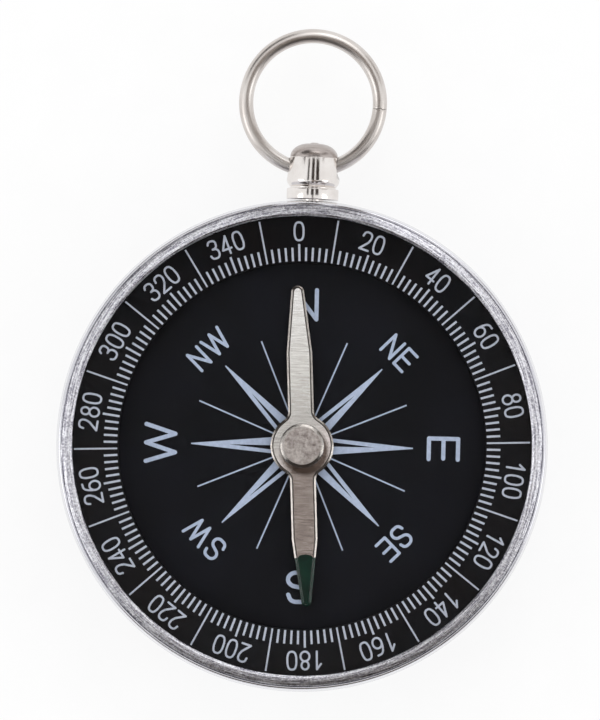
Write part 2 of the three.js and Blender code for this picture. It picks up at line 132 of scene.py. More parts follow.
def grained(name, tones, grain, others, cloud=None, blur=None, relief=None, stretch=None):
    """A finish that follows a noise, given by its size in mm, its detail and perhaps its roughness.

    The noise sets the tone, the range of the blur and the relief, which has a strength and a depth in mm.
    A cloud is a second noise, for the tone alone. Other inputs of the shader are set as they are.
    """
    material, tree, shader, where = new_finish(name)
    if stretch:
        where = add(tree, "Mapping", {"Vector": where, "Scale": stretch}).outputs[0]
    noises = []
    for size, *fineness in [grain, cloud] if cloud else [grain]:
        look = {"Vector": where, "Scale": 1 / (size * MM), **dict(zip(("Detail", "Roughness"), fineness))}
        noises.append(add(tree, "TexNoise", look).outputs["Fac"])
    tone = add(tree, "ValToRGB", {"Fac": noises[-1]}, stops=tones)
    plug(shader, {"Base Color": tone.outputs["Color"], **others})
    if blur:
        spread = add(tree, "MapRange", {"Value": noises[0], "To Min": blur[0], "To Max": blur[1]})
        plug(shader, {"Roughness": spread.outputs[0]})
    if relief:
        look = {"Height": noises[0], "Strength": relief[0], "Distance": relief[1] * MM}
        plug(shader, {"Normal": add(tree, "Bump", look).outputs[0]})
    return material


METAL = {"Metallic": 1}
print("A mid grey of #808080 is", round(linear("#808080")[0], 3), "in linear light")

# %% [markdown]
# Most of a compass is turned on a lathe, and Blender's lathe is Spin. A profile needs only its corners:
# a vertex bevel rounds each one on the wire, before it is spun, so that every round edge is part of the
# profile. Each finished mesh becomes a piece that rides on a CAD body and hides the solid it stands for.

# %% Turning and finishing
# Vertices nearer than WELD become one. HAIR, in mm, tells what is past a line from what is on it.
WELD, HAIR = 0.0001 * MM, 0.001
BROAD_ROUND, BROAD_STEPS, FINE_STEPS = 0.5, 12, 5


def turn(corners, steps=192, upright=True, closed=False, height=0):
    """Spins a profile of (radius, height[, round]) corners in mm, about Z or about Y at a height."""
    bm = bmesh.new()
    spots = [(r, 0, h) if upright else (r, h, height) for r, h, *_ in corners]
    wire = [bm.verts.new(Vector(spot) * MM) for spot in spots]
    for i in range(len(wire) - (not closed)):
        bm.edges.new((wire[i], wire[(i + 1) % len(wire)]))
    for vert, (_, _, *rounding) in zip(wire, corners):
        if rounding:
            bmesh.ops.bevel(
                bm, geom=[vert], offset=rounding[0] * MM, offset_type="OFFSET", affect="VERTICES",
                segments=BROAD_STEPS if rounding[0] > BROAD_ROUND else FINE_STEPS, profile=0.5, material=-1,
            )
    bmesh.ops.spin(
        bm, geom=bm.verts[:] + bm.edges[:], cent=(0, 0, height * MM), angle=2 * math.pi, steps=steps,
        axis=(0, 0, 1) if upright else (0, 1, 0), use_merge=True,
    )
    bmesh.ops.remove_doubles(bm, verts=bm.verts, dist=WELD)
    bmesh.ops.recalc_face_normals(bm, faces=bm.faces)
    return bm


def only(kind, made):
    """The elements of one kind, Vert, Edge or Face, among those that an operator made."""
    return [part for part in made if isinstance(part, getattr(bmesh.types, "BM" + kind))]


def linked(name, bm, *materials):
    """Makes a bmesh an object of the scene."""
    mesh = bpy.data.meshes.new(name)
    bm.to_mesh(mesh)
    bm.free()
    for material in materials:
        mesh.materials.append(material)
    made = bpy.data.objects.new(name, mesh)
    bpy.context.scene.collection.objects.link(made)
    return made


def finished(name, bm, body, slot, *materials, stands_for=(), sharp=40):
    """Turns a bmesh into a smooth-shaded piece on a CAD body."""
    piece = linked(name, bm, *materials)
    piece.data.shade_smooth()
    piece.data.set_sharp_from_angle(angle=math.radians(sharp))
    piece.modifiers.new("flat_stays_flat", "WEIGHTED_NORMAL").keep_sharp = True
    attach(piece, body)
    if stands_for:
        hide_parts(*stands_for)
    print(f"{name}: {len(piece.data.polygons)} faces, rides on {body}")
    return piece


def span(node):
    """Radius, bottom and top of a turned CAD node, in mm."""
    low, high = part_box(node)
    return (high.x - low.x) / 2 / MM, low.z / MM, high.z / MM


print("Case radius, bottom and top:", [round(x, 2) for x in span("case_shell")])

# %% [markdown]
# ## Case
# The case is a cup turned from aluminium, with a broad round corner at its back and a side that leans in
# a little to the mouth. It could be a cylinder with bevel modifiers, but its wall has three different
# rounds and a seat for the crystal, so one profile that goes down the outside and back up the inside
# says it best. It was polished on the lathe, which leaves very fine rings round the side and the back.
# One noise makes both: it changes slowly across X and Y and quickly with the sum of height and radius.

# %% Polished aluminium, and the case
BACK_CORNER = 4
SIDE_TOP, SIDE_ROUND = 7.24, 3.1
MOUTH_WALL = 0.3
MOUTH_EDGE = MOUTH_WALL / 2.1
CASE_FLOOR, FLOOR_CORNER = 1, 2.9
CLEARANCE = 0.1
RING_PITCH = 0.2

# Polished aluminium gives the eye a bright, faintly blue mirror, smeared across its rings. These are
# drawn 0.2 mm apart, coarser than real ones, so that they show.
polished_aluminium, tree, shader, where = new_finish("polished_aluminium")
outwards = add(tree, "CombineXYZ", {"Z": from_axis(tree, where)})
slow = add(tree, "Mapping", {"Vector": where, "Scale": (0.03, 0.03, 1)})
rings = add(tree, "VectorMath", {0: slow.outputs[0], 1: outwards.outputs[0]}, operation="ADD")
polish = add(tree, "TexNoise", {"Vector": rings.outputs[0], "Scale": 1 / (RING_PITCH * MM), "Detail": 3})
tone = add(tree, "ValToRGB", {"Fac": polish.outputs["Fac"]}, stops=[(0.35, "#d0d0d6"), (0.65, "#e4e4e9")])
blur = add(tree, "MapRange", {"Value": polish.outputs["Fac"], "To Min": 0.1, "To Max": 0.24})
plug(shader, {"Base Color": tone.outputs["Color"], "Roughness": blur.outputs[0], "Metallic": 1})

radius, bottom, mouth_top = span("case_shell")
mouth_bore = span("crystal")[0] + CLEARANCE
case_bore = span("degree_ring")[0] + CLEARANCE
seat = span("crystal")[1] - CLEARANCE / 2
case = turn([
    (0, bottom),
    (radius, bottom, BACK_CORNER),
    (radius, SIDE_TOP, SIDE_ROUND),
    (mouth_bore + MOUTH_WALL, mouth_top, MOUTH_EDGE),
    (mouth_bore, mouth_top, MOUTH_EDGE),
    (mouth_bore, seat),
    (case_bore, seat),
    (case_bore, CASE_FLOOR, FLOOR_CORNER),
    (0, CASE_FLOOR),
])
finished("case_cup", case, "case", "case_aluminium", polished_aluminium, stands_for=["case_shell"])

# %% [markdown]
# ## Bezel finish
# A narrow aluminium ring is pressed into the mouth and holds the crystal down. It was rolled and never
# polished, so it shows chatter marks across the ring, bare sparks and scratches along it. Those follow
# the ring, so the pattern is laid out along its length and its width: a radial gradient gives the angle
# and the length of the position gives the radius. Noise stretched one way or the other on that strip
# then runs along the ring or across it.

# %% Rolled aluminium
CHATTER, SCRATCH, GRIT = 0.16, 0.14, 0.19

# Raw rolled aluminium gives the eye grey metal that sparkles and goes dark by turns, because each small
# mark tips the reflection another way.
rolled_aluminium, tree, shader, where = new_finish("rolled_aluminium")
ring_radius = span("bezel_ring")[0] * MM
angle = add(tree, "TexGradient", {"Vector": where}, gradient_type="RADIAL")
along = add(tree, "Math", {0: angle.outputs["Fac"], 1: 2 * math.pi * ring_radius}, operation="MULTIPLY")
unrolled = add(tree, "CombineXYZ", {"X": along.outputs[0], "Y": from_axis(tree, where)}).outputs[0]
across = add(tree, "Mapping", {"Vector": unrolled, "Scale": (1, 0.3, 1)})
chatter = add(tree, "TexNoise", {"Vector": across.outputs[0], "Scale": 1 / (CHATTER * MM), "Detail": 3})
lengthwise = add(tree, "Mapping", {"Vector": unrolled, "Scale": (0.06, 1, 1)})
scratch = add(tree, "TexNoise", {"Vector": lengthwise.outputs[0], "Scale": 1 / (SCRATCH * MM), "Detail": 3})
grit = add(tree, "TexNoise", {"Vector": where, "Scale": 1 / (GRIT * MM), "Detail": 4, "Roughness": 0.7})
relief = add(tree, "Math", {0: scratch.outputs["Fac"], 1: grit.outputs["Fac"]}, operation="ADD")
relief = add(tree, "Math", {0: relief.outputs[0], 1: chatter.outputs["Fac"]}, operation="ADD")
bump = add(tree, "Bump", {"Height": relief.outputs[0], "Strength": 0.8, "Distance": 0.035 * MM})
mark = add(tree, "Mix", {0: 0.5, 2: grit.outputs["Fac"], 3: scratch.outputs["Fac"]})
tone = add(tree, "ValToRGB", {"Fac": mark.outputs[0]}, stops=[(0.4, "#83818d"), (0.6, "#f6f6fb")])
blur = add(tree, "MapRange", {"Value": scratch.outputs["Fac"], "To Min": 0.15, "To Max": 0.4})
plug(shader, {"Base Color": tone.outputs["Color"], "Roughness": blur.outputs[0], "Metallic": 1})
plug(shader, {"Normal": bump.outputs[0]})
around = 2 * math.pi * ring_radius / MM
print("Chatter marks repeat about every", CHATTER, "mm along", round(around, 1), "mm of ring")

# %% [markdown]
# ## Bezel
# The top of the ring falls outwards in a shallow crown, and a steep bevel runs round the opening. One
# burr from the tool stands out on its edge by the west point. It is pulled out of the mesh, because a
# bump would not show in the outline. The ring is spun in many steps, so that the burr has enough
# vertices to be smooth.

# %% Bezel ring with its burr
BEZEL_WIDTH = 0.87
LIP_WIDTH, LIP_DEPTH = 0.2, 0.14
CROWN_WIDTH, CROWN_FALL, BEZEL_FALL = 0.3, 0.02, 0.17
PRESS = 0.03
BURR_ANGLE = math.radians(183.5)
BURR_LENGTH, BURR_WIDTH, BURR_HEIGHT, BURR_FOOT = 0.9, 0.3, 0.16, 0.05

radius, bottom, top = span("bezel_ring")
opening = radius - BEZEL_WIDTH
radius += PRESS
bezel = turn([
    (opening, bottom),
    (radius, bottom),
    (radius, top - BEZEL_FALL, 0.05),
    (opening + LIP_WIDTH + CROWN_WIDTH, top - CROWN_FALL, 0.25),
    (opening + LIP_WIDTH, top, 0.04),
    (opening, top - LIP_DEPTH, 0.03),
], steps=480, closed=True)
for vert in bezel.verts:
    edge = vert.co.xy.length / MM - (radius - BURR_WIDTH)
    turned = abs(math.remainder(math.atan2(vert.co.y, vert.co.x) - BURR_ANGLE, 2 * math.pi)) * radius
    if edge > 0 and vert.co.z / MM > mouth_top + BURR_FOOT and turned < BURR_LENGTH:
        fade = math.cos(turned / BURR_LENGTH * math.pi / 2) ** 2
        vert.co.xy *= 1 + BURR_HEIGHT * fade * edge / BURR_WIDTH / radius
finished("bezel", bezel, "case", "bezel_aluminium", rolled_aluminium, stands_for=["bezel_ring"], sharp=25)

# %% [markdown]
# ## Crystal
# The window is a flat disc of clear acrylic with a small chamfer. Glass in Cycles bends every ray, which
# also stops lamps from lighting what lies under it. So rays between the room and the pieces below it,
# which are shadow, diffuse and glossy rays, pass through a Transparent shader instead, and only what the
# eye sees through the window is refracted.

# %% Clear acrylic, and the crystal
CHAMFER, RIPPLE = 0.12, 6

# Acrylic gives the eye a window as clear as glass. A moulded sheet is never quite flat, so a very low
# ripple, a few millimetres long, keeps its reflections from being perfect.
clear_acrylic, tree, shader, where = new_finish("clear_acrylic")
ripple = add(tree, "TexNoise", {"Vector": where, "Scale": 1 / (RIPPLE * MM), "Detail": 1})
bump = add(tree, "Bump", {"Height": ripple.outputs["Fac"], "Strength": 0.05, "Distance": 0.02 * MM})
plug(shader, {"Normal": bump.outputs[0], "Transmission Weight": 1, "Roughness": 0, "IOR": 1.49})
light = any_of(tree, "Is Shadow Ray", "Is Diffuse Ray", "Is Glossy Ray")
passing = add(tree, "BsdfTransparent")
window = add(tree, "MixShader", {0: light, 1: shader.outputs[0], 2: passing.outputs[0]})
plug(tree.nodes["Material Output"], {"Surface": window.outputs[0]})

radius, bottom, top = span("crystal")
crystal = turn([(0, bottom), (radius, bottom), (radius, top, CHAMFER), (0, top)])
finished("window", crystal, "case", "crystal_acrylic", clear_acrylic, stands_for=["crystal"])

# %% [markdown]
# ## Degree ring
# The scale is printed on a black conical ring that stands on the dial and rises to the crystal. It is a
# plastic moulding, and one closed profile gives its foot, its cone and its rim.

# %% Black ABS, and the degree ring
SCALE_WIDTH, SCALE_RISE, SCALE_RIM = 4.45, 1.45, 0.45
FOOT_WIDTH, FOOT_DEPTH, WALL_DEPTH = 1.5, 2.1, 1.2

# ABS from a fine-grained mould gives the eye a soft sheen in place of a highlight. It is not quite
# black, and a little brown in places.
black_abs = grained(
    "black_abs_moulding", [(0.35, "#0c0f14"), (0.65, "#110f11")], (0.12, 3), {"Specular IOR Level": 0.12},
    cloud=(9, 2), blur=(0.42, 0.6), relief=(0.15, 0.01),
)

radius, bottom, scale_top = span("degree_ring")
scale_inner = radius - SCALE_WIDTH
cone_outer = radius - SCALE_RIM
degree_ring = turn([
    (scale_inner, bottom),
    (scale_inner + FOOT_WIDTH, bottom),
    (scale_inner + FOOT_WIDTH, scale_top - FOOT_DEPTH),
    (radius, scale_top - WALL_DEPTH),
    (radius, scale_top),
    (cone_outer, scale_top),
    (scale_inner, scale_top - SCALE_RISE, 0.06),
], closed=True)
finished("scale_ring", degree_ring, "case", "scale_black", black_abs, stands_for=["degree_ring"])

# %% [markdown]
# ## Lettering
# Numbers and letters on instruments are often drawn with a round pen of one width. Blender's own font
# has strokes of changing width, so each glyph is written here as strokes in a box one wide and one high:
# straight lines, open curves, or closed loops. A curve object with a round bevel draws them all at once.
# Short round pegs at the ends and corners round them off, and the whole is pressed flat to a film of
# ink.

# %% Pen strokes
INK = 0.02 * MM
GLYPHS = {
    "0": [(
        "loop", (0, 0.5), (0.06, 0.8), (0.23, 0.96), (0.5, 1), (0.77, 0.96), (0.94, 0.8),
        (1, 0.5), (0.94, 0.2), (0.77, 0.04), (0.5, 0), (0.23, 0.04), (0.06, 0.2),
    )],
    "1": [("line", (0.2, 0.7), (0.65, 1), (0.65, 0))],
    "2": [
        ("curve", (0.02, 0.74), (0.16, 0.94), (0.5, 1), (0.86, 0.93), (0.96, 0.72), (0.78, 0.44)),
        ("line", (0.78, 0.44), (0, 0), (1, 0)),
    ],
    "3": [
        (
            "curve", (0.05, 0.84), (0.22, 0.97), (0.5, 1), (0.86, 0.93), (0.93, 0.74), (0.8, 0.58),
            (0.42, 0.53),
        ),
        ("curve", (0.42, 0.53), (0.84, 0.47), (1, 0.26), (0.84, 0.05), (0.48, 0), (0.16, 0.05), (0, 0.2)),
    ],
    "4": [("line", (0.72, 0), (0.72, 1), (0, 0.27), (1, 0.27))],
    "6": [
        ("loop", (0, 0.3), (0.5, 0.6), (1, 0.3), (0.5, 0)),
        ("curve", (0, 0.3), (0.08, 0.65), (0.34, 0.92), (0.84, 0.98)),
    ],
    "8": [
        ("loop", (0.1, 0.77), (0.5, 1), (0.9, 0.77), (0.5, 0.54)),
        ("loop", (0, 0.27), (0.5, 0.54), (1, 0.27), (0.5, 0)),
    ],
    "N": [("line", (0, 0), (0, 1), (1, 0), (1, 1))],
    "E": [("line", (1, 1), (0, 1), (0, 0), (1, 0)), ("line", (0, 0.5), (0.96, 0.5))],
    "S": [(
        "curve", (0.96, 0.76), (0.82, 0.95), (0.5, 1), (0.16, 0.94), (0.02, 0.75), (0.16, 0.58), (0.5, 0.5),
        (0.84, 0.42), (0.98, 0.24), (0.84, 0.05), (0.5, 0), (0.16, 0.05), (0.02, 0.24),
    )],
    "W": [("line", (0, 1), (0.25, 0), (0.5, 1), (0.75, 0), (1, 1))],
}


def written(marks, pen):
    """A bmesh of flat strokes. Each mark is a glyph, its width and height in mm, and its place."""
    curve = bpy.data.curves.new("pen", "CURVE")
    curve.dimensions, curve.bevel_depth, curve.bevel_resolution = "3D", pen / 2 * MM, 2
    curve.resolution_u = 6
    ends = []
    for glyph, width, height, place in marks:
        for kind, *spots in GLYPHS[glyph]:
            spots = [place @ Vector(((x - 0.5) * width, (y - 0.5) * height, 0)) * MM for x, y in spots]
            runs = list(zip(spots, spots[1:])) if kind == "line" else [spots]
            ends += {"line": spots, "curve": [spots[0], spots[-1]], "loop": []}[kind]
            for run in runs:
                spline = curve.splines.new("BEZIER")
                spline.bezier_points.add(len(run) - 1)
                spline.use_cyclic_u = kind == "loop"
                for knot, spot in zip(spline.bezier_points, run):
                    knot.co = spot
                    knot.handle_left_type = knot.handle_right_type = "VECTOR" if kind == "line" else "AUTO"
    writer = bpy.data.objects.new("pen", curve)
    strokes = bpy.data.meshes.new_from_object(writer)
    bm = bmesh.new()
    bm.from_mesh(strokes)
    for end in ends:
        bmesh.ops.create_cone(
            bm, cap_ends=True, segments=16, radius1=pen / 2 * MM, radius2=pen / 2 * MM, depth=pen * MM,
            matrix=Matrix.Translation(end),
        )
    bmesh.ops.scale(bm, vec=(1, 1, INK / pen / MM), verts=bm.verts)
    bpy.data.objects.remove(writer)
    bpy.data.curves.remove(curve)
    bpy.data.meshes.remove(strokes)
    return bm


def heading(degrees, distance=0):
    """Place at a compass heading, clockwise from the top, and a distance in mm from the middle."""
    return Matrix.Rotation(-math.radians(degrees), 4, "Z") @ Matrix.Translation((0, distance, 0))


def bar_of_ink(bm, degrees, start, end, width):
    """Adds a straight printed line that runs outwards at a heading."""
    size = Matrix.Diagonal((width * MM, (end - start) * MM, INK, 1))
    place = heading(degrees) @ Matrix.Translation((0, (start + end) / 2 * MM, 0))
    bmesh.ops.create_cube(bm, size=1, matrix=place @ size)


print("Glyphs drawn:", " ".join(GLYPHS))

# %% [markdown]
# ## Print on the scale
# The ring has a mark every two degrees, a longer one at each even ten and a thin line right across at
# each odd ten. The number of every even ten stands outside its mark, with its top outwards. All are
# drawn flat and then lifted on to the cone by their distance from the middle.

# %% Pale print, and the degree marks
SCALE_TURN = -3.2
DIGIT_SIZE, DIGIT_PITCH, DIGIT_PEN = (0.8, 1.58), 1.17, 0.185
DIGIT_RADIUS = 19.07
MARK_START, MARK_END, TEN_END, LINE_END = 16.44, 17.64, 17.94, 20.25
MARK_WIDTH, LINE_WIDTH = 0.19, 0.15

# Screen ink gives the eye a flat, chalky blue grey, a little uneven where it sank in.
pale_print = grained(
    "pale_screen_print", [(0.3, "#b9bfce"), (0.7, "#ccd2e0")], (0.25, 3), {}, blur=(0.5, 0.7),
)

numbers = []
for degrees in range(0, 360, 20):
    digits = str(degrees)
    for i, digit in enumerate(digits):
        shift = Matrix.Translation(((i - (len(digits) - 1) / 2) * DIGIT_PITCH, 0, 0))
        numbers.append((digit, *DIGIT_SIZE, heading(degrees + SCALE_TURN, DIGIT_RADIUS) @ shift))
marks = written(numbers, DIGIT_PEN)
for degrees in range(0, 360, 2):
    end = {0: TEN_END, 10: LINE_END}.get(degrees % 20, MARK_END)
    width = LINE_WIDTH if end == LINE_END else MARK_WIDTH
    bar_of_ink(marks, degrees + SCALE_TURN, MARK_START, end, width)
for vert in marks.verts:
    vert.co.z += (scale_top - SCALE_RISE) * MM
    vert.co.z += (vert.co.xy.length - scale_inner * MM) * SCALE_RISE / (cone_outer - scale_inner)
finished("scale_print", marks, "case", "scale_black", pale_print)

# %% [markdown]
# ## Dial
# The dial is a disc of sheet metal with a flat black coat, and its pivot bush comes up through a hole in
# the middle. A spun rectangle with its inner side at the hole is all it takes.

# %% Black coated sheet, and the dial
DIAL_HOLE = 1.15

# A sprayed coat gives the eye a deep, even black, with a finer grain than the moulded ring's.
black_coat = grained(
    "black_coated_sheet", [(0.35, "#0d0f14"), (0.65, "#11131a")], (0.08, 2), {"Specular IOR Level": 0.12},
    cloud=(7, 2), blur=(0.5, 0.65), relief=(0.1, 0.006),
)

radius, bottom, dial_top = span("dial_plate")
dial = turn([(DIAL_HOLE, bottom), (radius, bottom), (radius, dial_top), (DIAL_HOLE, dial_top)], closed=True)
finished("dial", dial, "case", "dial_black", black_coat, stands_for=["dial_plate"])

# %% [markdown]
# ## Rose and points
# The rose is the traditional one: eight blades, each with one half filled and the other half only edged,
# and a thin line in each gap. A blade is one flat face with a notch, so it takes seven vertices, and an
# extrusion gives it the thickness of the ink. The letters of the points stand with their tops outwards.

# %% Blue print, and the rose
ROSE_TURN = -1.1
BLADE_ROOT, BLADE_TIP, NOTCH_TIP = 2.1, 9.88, 6.5
ROOT_HALF, TIP_HALF, EDGE_WIDTH = 0.77, 0.05, 0.32
RAY_TIP, RAY_WIDTH = 10, 0.13
LETTERS = {"N": (2.04, 0), "E": (1.84, 90), "S": (2.03, 180), "W": (3.3, 270)}
LETTER_HEIGHT, LETTER_PEN, LETTER_RADIUS = 2.6, 0.37, 12.6

# The ink of the rose gives the eye a flat, chalky blue, stronger than the blue grey of the scale.
blue_print = grained(
    "blue_screen_print", [(0.3, "#adbbd4"), (0.7, "#c0cde5")], (0.3, 3), {}, blur=(0.5, 0.7),
)

letters = [
    (name, width, LETTER_HEIGHT, heading(at + ROSE_TURN, LETTER_RADIUS))
    for name, (width, at) in LETTERS.items()
]
rose = written(letters, LETTER_PEN)
outline = [
    (TIP_HALF, BLADE_TIP), (-TIP_HALF, BLADE_TIP), (-ROOT_HALF, BLADE_ROOT),
    (EDGE_WIDTH - ROOT_HALF, BLADE_ROOT), (0, NOTCH_TIP), (0, BLADE_ROOT), (ROOT_HALF, BLADE_ROOT),
]
for degrees in range(0, 360, 45):
    place = heading(degrees + ROSE_TURN)
    blade = rose.faces.new([rose.verts.new(place @ Vector((x, y, 0)) * MM) for x, y in outline])
    layer = bmesh.ops.extrude_face_region(rose, geom=[blade], use_keep_orig=True)["geom"]
    bmesh.ops.translate(rose, vec=(0, 0, INK / 2), verts=only("Vert", layer))
    bar_of_ink(rose, degrees + 22.5 + ROSE_TURN, BLADE_ROOT, RAY_TIP, RAY_WIDTH)
bmesh.ops.translate(rose, vec=(0, 0, dial_top * MM), verts=rose.verts)
bmesh.ops.recalc_face_normals(rose, faces=rose.faces)
finished("rose_print", rose, "case", "dial_black", blue_print)

# %% [markdown]
# The four points in between have two letters each, smaller and drawn with a thinner pen. The widths of
# the two letters differ, so each pair is centred by its full width, with the gap between them kept.

# %% Letters between the points
PAIRS = {"NE": 45, "SE": 135, "SW": 225, "NW": 315}
PAIR_WIDTH = {"N": 1.12, "E": 1.06, "S": 1.16, "W": 1.95}
PAIR_HEIGHT, PAIR_PEN, PAIR_RADIUS, PAIR_GAP = 1.9, 0.265, 11.95, 0.56
small = []
for pair, at in PAIRS.items():
    left, right = (PAIR_WIDTH[letter] for letter in pair)
    full = left + PAIR_GAP + right
    for letter, middle in zip(pair, (left / 2 - full / 2, full / 2 - right / 2)):
        place = heading(at + ROSE_TURN, PAIR_RADIUS) @ Matrix.Translation((middle, 0, 0))
        small.append((letter, PAIR_WIDTH[letter], PAIR_HEIGHT, place))
points = written(small, PAIR_PEN)
bmesh.ops.translate(points, vec=(0, 0, dial_top * MM), verts=points.verts)
finished("point_print", points, "case", "dial_black", blue_print)

# %% [markdown]
# ## Needle finishes
# The needle is stamped from steel sheet that was brushed across its length. The press rubbed its edge
# bright, and the groove beside that edge is coloured dark as painted shade, so four finishes share the mesh
# and each face is given its own. The tail is a warmer grey than the head, the head has a painted sheen that
# brightens towards its tip and the upper left, and a painted shadow of the hub cup darkens the steel below
# it. All of that is drawn on the steel by position, and multiplied into its tone.

# %% Satin steel
NEEDLE_ANGLE = math.radians(4)
SHEET = 0.35
blade_top = span("needle_blade")[2]
# Painted shadow of the hub cup on the blade: its middle, and where in mm it starts to fade and where it
# ends.
CUP_SHADOW_PLACE = Vector((0.24, -0.5, blade_top))
CUP_SHADOW_INNER, CUP_SHADOW_OUTER = 1.9, 2.35
GRAIN = 0.14
# The tail keeps a warmer tone. On the head a painted sheen brightens towards the tip and the upper left,
# along this direction and between these distances in mm.
TINT_AND_SHEEN_DIRECTION, TINT_AND_SHEEN_START, TINT_AND_SHEEN_END = (-0.6, 0.8, 0), -1, 12

# Brushed steel gives the eye a silver sheen with streaks across the arms.
satin_steel, tree, shader, where = new_finish("satin_steel")
turned = add(tree, "Mapping", {"Vector": where, "Rotation": (0, 0, -NEEDLE_ANGLE), "Scale": (0.12, 1, 1)})
grain = add(tree, "TexNoise", {"Vector": turned.outputs[0], "Scale": 1 / (GRAIN * MM), "Detail": 4})
tone = add(tree, "ValToRGB", {"Fac": grain.outputs["Fac"]}, stops=[(0.32, "#e2dedb"), (0.68, "#fffefc")])
tint_and_sheen_reach = add(tree, "VectorMath", {0: where, 1: TINT_AND_SHEEN_DIRECTION}, operation="DOT_PRODUCT").outputs["Value"]
tint_and_sheen_reach = add(tree, "MapRange", {"Value": tint_and_sheen_reach, "From Min": TINT_AND_SHEEN_START * MM, "From Max": TINT_AND_SHEEN_END * MM})
# Warm tone on the tail, then a painted sheen on the head: darker by the hub, brighter towards the tip.
tint_and_sheen = add(tree, "ValToRGB", {"Fac": tint_and_sheen_reach.outputs[0]}, stops=[
    (0, "#eee6e4"), (0.2, "#d3d1ce"), (0.55, "#f0efec"), (1, "#ffffff"),
])
# Painted shadow of the hub cup: the steel darkens within a ring round a point just below the cup.
foot = add(tree, "VectorMath", {0: where, 1: CUP_SHADOW_PLACE * MM}, operation="DISTANCE").outputs["Value"]
foot = add(tree, "MapRange", {"Value": foot, "From Min": CUP_SHADOW_INNER * MM, "From Max": CUP_SHADOW_OUTER * MM})
cup_shadow = add(tree, "ValToRGB", {"Fac": foot.outputs[0]}, stops=[(0, "#7d736c"), (1, "#ffffff")])
colour = tone.outputs["Color"]
# The tail tone with its painted sheen, and the painted shadow of the cup, are multiplied into the grain's
# tone.
for layer in (tint_and_sheen, cup_shadow):
    colour = add(
        tree, "Mix", {0: 1.0, 6: colour, 7: layer.outputs["Color"]}, data_type="RGBA", blend_type="MULTIPLY",
    ).outputs[2]
blur = add(tree, "MapRange", {"Value": grain.outputs["Fac"], "To Min": 0.1, "To Max": 0.2})
bump = add(tree, "Bump", {"Height": grain.outputs["Fac"], "Strength": 0.12, "Distance": 0.02 * MM})
plug(shader, {"Base Color": colour, "Roughness": blur.outputs[0], "Metallic": 1, "Normal": bump.outputs[0]})
print("Grain about every", GRAIN, "mm across the blade, whose top is", round(blade_top, 2), "mm up")

# %% [markdown]
# The tail end is dipped in enamel, which is thicker in some places than in others. The edge and the
# groove are only tenths of a millimetre wide, so one noise is enough for each.

# %% Enamel, burnished edge and painted groove shade
# Enamel gives the eye a dark, wet green with a small clear highlight where it pooled.
green_enamel = grained(
    "green_enamel", [(0.3, "#04231b"), (0.7, "#0a2c22")], (1.2, 2),
    {"Roughness": 0.16, "Specular IOR Level": 0.35}, relief=(0.2, 0.05),
)

# Steel rubbed by the die gives the eye a thin bright line along each edge.
burnished = grained(
    "burnished_metal", [(0.3, "#aaa5a0"), (0.7, "#beb9b4")], (0.4, 3), METAL, blur=(0.12, 0.24),
)

# Painted shade in the groove: a dull brown-black line, which draws the groove.
painted_groove_shade = grained("painted_groove_shade", [(0.3, "#2b2521"), (0.7, "#4a413a")], (0.3, 3), {"Roughness": 0.6})
print("Finishes of the needle:", satin_steel.name, green_enamel.name, burnished.name, painted_groove_shade.name)

# %% [markdown]
# ## Needle outline
# The needle has two arms that taper to round tips, on a round hub. Its outline could be drawn with a
# curve, but a face that is to be inset needs clean vertices, so it is drawn as wire: Spin makes the arcs
# of the hub, of the tips and of the fillets between hub and arms, and straight edges join them by way of
# the shoulders.

# %% Outline of the needle
HUB = 2.81
HALF_WIDTH = 1.135
TIP_REACH = 14.3
SHOULDER = 8.3
NORTH_TIP, SOUTH_TIP = 0.575, 0.46
FILLET = 0.9
HUB_STEPS, FILLET_STEPS, TIP_STEPS = 24, 6, 12
needle = bmesh.new()
fillet_x = HALF_WIDTH + FILLET
root_angle = math.acos(fillet_x / (HUB + FILLET))
fillet_y = (HUB + FILLET) * math.sin(root_angle)


def corner(x, y):
    """A vertex of the outline, placed in mm."""
    return needle.verts.new(Vector((x, y, 0)) * MM)


def arc(start, centre, sweep, steps):
    """Draws an arc from a vertex, counterclockwise about a point in mm, and gives the vertex at its end."""
    made = bmesh.ops.spin(
        needle, geom=[start], cent=Vector((*centre, 0)) * MM, axis=(0, 0, 1), angle=sweep, steps=steps,
    )
    return only("Vert", made["geom_last"])[0]


def half(side, shoulder_y, tip_y, tip_radius):
    """Draws half of the outline: one side of the hub, and an arm with its tip and its two fillets."""
    start = corner(side * HUB * math.cos(root_angle), -side * HUB * math.sin(root_angle))
    root = arc(start, (0, 0), 2 * root_angle, HUB_STEPS)
    foot = arc(root, (side * fillet_x, side * fillet_y), -root_angle, FILLET_STEPS)
    tip = corner(side * tip_radius, tip_y)
    tip_end = arc(tip, (0, tip_y), math.pi, TIP_STEPS)
    back = corner(-side * HALF_WIDTH, side * fillet_y)
    arc(back, (-side * fillet_x, side * fillet_y), -root_angle, FILLET_STEPS)
    before, after = corner(side * HALF_WIDTH, shoulder_y), corner(-side * HALF_WIDTH, shoulder_y)
    for pair in ((foot, before), (before, tip), (tip_end, after), (after, back)):
        needle.edges.new(pair)


# Each half ends where the other one starts, and the two are welded there.
half(1, SHOULDER, TIP_REACH - NORTH_TIP, NORTH_TIP)
half(-1, -SHOULDER, SOUTH_TIP - TIP_REACH, SOUTH_TIP)
bmesh.ops.remove_doubles(needle, verts=needle.verts, dist=WELD)
print("Outline:", len(needle.verts), "vertices and", len(needle.edges), "edges")

# %% [markdown]
# ## Needle
# A press has coined a sloping band round the upper edge of the blade and left a fine groove inside the
# band. The outline is filled and extruded, and three insets make the band and the two sides of the
# groove. The hub is dished where the cup was pressed in, and the arms go on at the same slope, which
# brings the weight below the point that the needle turns on. Poke gives the hub the middle that a cone
# needs. The bend is made last, along cuts at the hub, so that each arm stays flat. The edge of the
# enamel is one more cut, bowed where it crosses the top.

